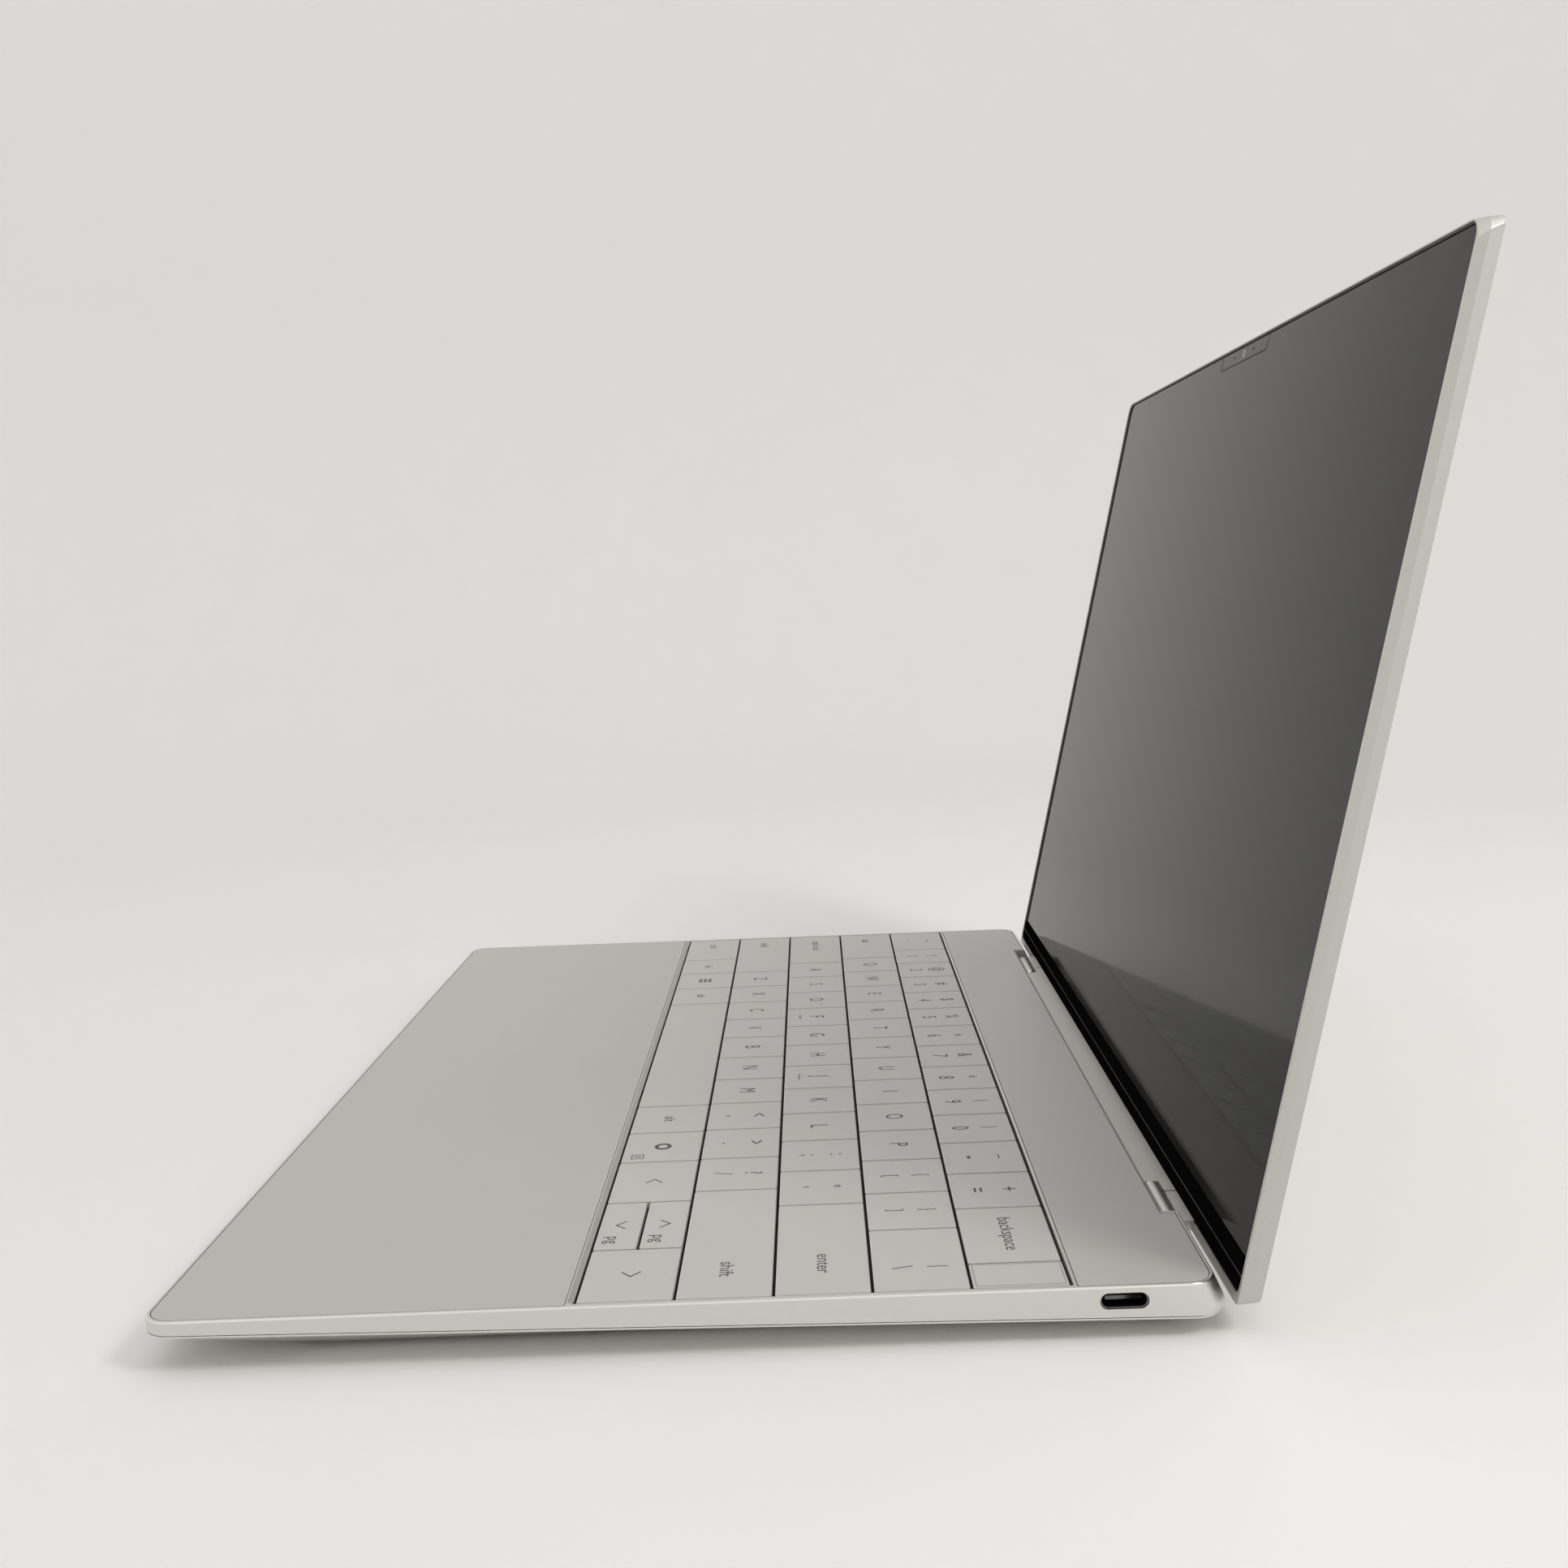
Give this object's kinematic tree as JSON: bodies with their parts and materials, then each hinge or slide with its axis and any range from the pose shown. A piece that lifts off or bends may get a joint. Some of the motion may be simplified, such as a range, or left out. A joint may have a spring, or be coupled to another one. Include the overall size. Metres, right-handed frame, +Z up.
{
  "type": "laptop computer",
  "caption": "Thin clamshell laptop with a flush edge-to-edge keyboard, glass palm rest, touch function bar and a lid on a rear hinge.",
  "frame": {"origin": "middle of the bounding box at the level of the feet's underside, with the lid open 102.6 degrees", "axes": "+X to the right of the person who types, +Y away from them towards the hinge, +Z up"},
  "size_m": [0.2954, 0.2472, 0.1976],
  "materials": {
    "frame_aluminium": "satin anodised aluminium",
    "cover_aluminium": "satin anodised aluminium",
    "palm_glass": "satin coated glass, opaque",
    "screen_glass": "clear glass over a dark panel",
    "black_plastic": "smooth",
    "black_rubber": "soft",
    "cap_plastic": "fine matte",
    "plate_steel": "plain",
    "tray_plastic": "matte",
    "hinge_steel": "ground",
    "board": "coated board",
    "copper": "plain",
    "cell_foil": "foil wrap",
    "port_steel": "plain",
    "fan_plastic": "moulded"
  },
  "bodies": {
    "base": {"base_frame": "frame_aluminium", "palm_rest_glass": "palm_glass", "function_bar": "palm_glass", "bottom_cover": "cover_aluminium", "rubber_feet": "black_rubber", "case_screws": "plate_steel", "keyboard_plate": "plate_steel", "keyboard_tray": "tray_plastic", "touchpad_module": "tray_plastic", "battery_pack": "cell_foil", "speakers": "black_plastic", "main_board": "board", "ssd_module": "black_plastic", "heat_sink": "copper", "usb_ports": "port_steel", "fan_housing_left": "fan_plastic", "fan_housing_right": "fan_plastic", "hinge_bracket_left": "hinge_steel", "hinge_bracket_right": "hinge_steel"},
    "lid": {"lid_cover": "cover_aluminium", "display_glass": "screen_glass", "display_gasket": "black_rubber", "chin_strip": "black_plastic", "display_panel": "black_plastic", "display_board": "board", "camera_window": "screen_glass", "camera_module": "black_plastic", "hinge_spine": "frame_aluminium", "spine_ends": "frame_aluminium", "hinge_pins": "hinge_steel"},
    "rotor_left": {"fan_rotor_left": "fan_plastic"},
    "rotor_right": {"fan_rotor_right": "fan_plastic"},
    "body_key_backtick": {"key_backtick": "cap_plastic"},
    "body_keys_1_to_5": {"keys_1_to_5": "cap_plastic"},
    "body_keys_6_to_equals": {"keys_6_to_equals": "cap_plastic"},
    "body_key_backspace": {"key_backspace": "cap_plastic"},
    "body_key_power": {"key_power": "cap_plastic"},
    "body_key_tab": {"key_tab": "cap_plastic"},
    "body_keys_q_to_t": {"keys_q_to_t": "cap_plastic"},
    "body_keys_y_to_bracket": {"keys_y_to_bracket": "cap_plastic"},
    "body_key_backslash": {"key_backslash": "cap_plastic"},
    "body_key_caps": {"key_caps": "cap_plastic"},
    "body_keys_a_to_g": {"keys_a_to_g": "cap_plastic"},
    "body_keys_h_to_quote": {"keys_h_to_quote": "cap_plastic"},
    "body_key_enter": {"key_enter": "cap_plastic"},
    "body_key_shift_left": {"key_shift_left": "cap_plastic"},
    "body_keys_z_to_b": {"keys_z_to_b": "cap_plastic"},
    "body_keys_n_to_slash": {"keys_n_to_slash": "cap_plastic"},
    "body_key_shift_right": {"key_shift_right": "cap_plastic"},
    "body_key_ctrl": {"key_ctrl": "cap_plastic"},
    "body_key_fn": {"key_fn": "cap_plastic"},
    "body_key_home": {"key_home": "cap_plastic"},
    "body_key_alt_left": {"key_alt_left": "cap_plastic"},
    "body_key_space": {"key_space": "cap_plastic"},
    "body_key_alt_right": {"key_alt_right": "cap_plastic"},
    "body_key_menu": {"key_menu": "cap_plastic"},
    "body_key_arrow_left": {"key_arrow_left": "cap_plastic"},
    "body_key_arrow_down": {"key_arrow_down": "cap_plastic"},
    "body_key_arrow_up": {"key_arrow_up": "cap_plastic"},
    "body_key_arrow_right": {"key_arrow_right": "cap_plastic"}
  },
  "joints": [
    {"name": "lid_hinge", "type": "hinge", "parent": "base", "child": "lid", "pos_m": [0, 0.07225, 0.0066], "axis": [-1, 0, 0], "range_deg": [-102.6, 28]},
    {"name": "fan_left_spin", "type": "hinge", "parent": "base", "child": "rotor_left", "pos_m": [-0.09201, 0.0256, 0.0039], "axis": [0, 0, 1], "continuous": true},
    {"name": "fan_right_spin", "type": "hinge", "parent": "base", "child": "rotor_right", "pos_m": [0.09201, 0.0256, 0.0039], "axis": [0, 0, 1], "continuous": true},
    {"name": "key_backtick_press", "type": "slide", "parent": "base", "child": "body_key_backtick", "axis": [0, 0, -1], "range_m": [0, 0.001], "stiffness_N_per_m": 300, "springref_m": -0.001},
    {"name": "keys_1_to_5_press", "type": "slide", "parent": "base", "child": "body_keys_1_to_5", "axis": [0, 0, -1], "range_m": [0, 0.001], "stiffness_N_per_m": 1500, "springref_m": -0.001},
    {"name": "keys_6_to_equals_press", "type": "slide", "parent": "base", "child": "body_keys_6_to_equals", "axis": [0, 0, -1], "range_m": [0, 0.001], "stiffness_N_per_m": 2100, "springref_m": -0.001},
    {"name": "key_backspace_press", "type": "slide", "parent": "base", "child": "body_key_backspace", "axis": [0, 0, -1], "range_m": [0, 0.001], "stiffness_N_per_m": 300, "springref_m": -0.001},
    {"name": "key_power_press", "type": "slide", "parent": "base", "child": "body_key_power", "axis": [0, 0, -1], "range_m": [0, 0.001], "stiffness_N_per_m": 300, "springref_m": -0.001},
    {"name": "key_tab_press", "type": "slide", "parent": "base", "child": "body_key_tab", "axis": [0, 0, -1], "range_m": [0, 0.001], "stiffness_N_per_m": 300, "springref_m": -0.001},
    {"name": "keys_q_to_t_press", "type": "slide", "parent": "base", "child": "body_keys_q_to_t", "axis": [0, 0, -1], "range_m": [0, 0.001], "stiffness_N_per_m": 1500, "springref_m": -0.001},
    {"name": "keys_y_to_bracket_press", "type": "slide", "parent": "base", "child": "body_keys_y_to_bracket", "axis": [0, 0, -1], "range_m": [0, 0.001], "stiffness_N_per_m": 2100, "springref_m": -0.001},
    {"name": "key_backslash_press", "type": "slide", "parent": "base", "child": "body_key_backslash", "axis": [0, 0, -1], "range_m": [0, 0.001], "stiffness_N_per_m": 300, "springref_m": -0.001},
    {"name": "key_caps_press", "type": "slide", "parent": "base", "child": "body_key_caps", "axis": [0, 0, -1], "range_m": [0, 0.001], "stiffness_N_per_m": 300, "springref_m": -0.001},
    {"name": "keys_a_to_g_press", "type": "slide", "parent": "base", "child": "body_keys_a_to_g", "axis": [0, 0, -1], "range_m": [0, 0.001], "stiffness_N_per_m": 1500, "springref_m": -0.001},
    {"name": "keys_h_to_quote_press", "type": "slide", "parent": "base", "child": "body_keys_h_to_quote", "axis": [0, 0, -1], "range_m": [0, 0.001], "stiffness_N_per_m": 1800, "springref_m": -0.001},
    {"name": "key_enter_press", "type": "slide", "parent": "base", "child": "body_key_enter", "axis": [0, 0, -1], "range_m": [0, 0.001], "stiffness_N_per_m": 300, "springref_m": -0.001},
    {"name": "key_shift_left_press", "type": "slide", "parent": "base", "child": "body_key_shift_left", "axis": [0, 0, -1], "range_m": [0, 0.001], "stiffness_N_per_m": 300, "springref_m": -0.001},
    {"name": "keys_z_to_b_press", "type": "slide", "parent": "base", "child": "body_keys_z_to_b", "axis": [0, 0, -1], "range_m": [0, 0.001], "stiffness_N_per_m": 1500, "springref_m": -0.001},
    {"name": "keys_n_to_slash_press", "type": "slide", "parent": "base", "child": "body_keys_n_to_slash", "axis": [0, 0, -1], "range_m": [0, 0.001], "stiffness_N_per_m": 1500, "springref_m": -0.001},
    {"name": "key_shift_right_press", "type": "slide", "parent": "base", "child": "body_key_shift_right", "axis": [0, 0, -1], "range_m": [0, 0.001], "stiffness_N_per_m": 300, "springref_m": -0.001},
    {"name": "key_ctrl_press", "type": "slide", "parent": "base", "child": "body_key_ctrl", "axis": [0, 0, -1], "range_m": [0, 0.001], "stiffness_N_per_m": 300, "springref_m": -0.001},
    {"name": "key_fn_press", "type": "slide", "parent": "base", "child": "body_key_fn", "axis": [0, 0, -1], "range_m": [0, 0.001], "stiffness_N_per_m": 300, "springref_m": -0.001},
    {"name": "key_home_press", "type": "slide", "parent": "base", "child": "body_key_home", "axis": [0, 0, -1], "range_m": [0, 0.001], "stiffness_N_per_m": 300, "springref_m": -0.001},
    {"name": "key_alt_left_press", "type": "slide", "parent": "base", "child": "body_key_alt_left", "axis": [0, 0, -1], "range_m": [0, 0.001], "stiffness_N_per_m": 300, "springref_m": -0.001},
    {"name": "key_space_press", "type": "slide", "parent": "base", "child": "body_key_space", "axis": [0, 0, -1], "range_m": [0, 0.001], "stiffness_N_per_m": 300, "springref_m": -0.001},
    {"name": "key_alt_right_press", "type": "slide", "parent": "base", "child": "body_key_alt_right", "axis": [0, 0, -1], "range_m": [0, 0.001], "stiffness_N_per_m": 300, "springref_m": -0.001},
    {"name": "key_menu_press", "type": "slide", "parent": "base", "child": "body_key_menu", "axis": [0, 0, -1], "range_m": [0, 0.001], "stiffness_N_per_m": 300, "springref_m": -0.001},
    {"name": "key_arrow_left_press", "type": "slide", "parent": "base", "child": "body_key_arrow_left", "axis": [0, 0, -1], "range_m": [0, 0.001], "stiffness_N_per_m": 300, "springref_m": -0.001},
    {"name": "key_arrow_down_press", "type": "slide", "parent": "base", "child": "body_key_arrow_down", "axis": [0, 0, -1], "range_m": [0, 0.001], "stiffness_N_per_m": 300, "springref_m": -0.001},
    {"name": "key_arrow_up_press", "type": "slide", "parent": "base", "child": "body_key_arrow_up", "axis": [0, 0, -1], "range_m": [0, 0.001], "stiffness_N_per_m": 300, "springref_m": -0.001},
    {"name": "key_arrow_right_press", "type": "slide", "parent": "base", "child": "body_key_arrow_right", "axis": [0, 0, -1], "range_m": [0, 0.001], "stiffness_N_per_m": 300, "springref_m": -0.001}
  ]
}
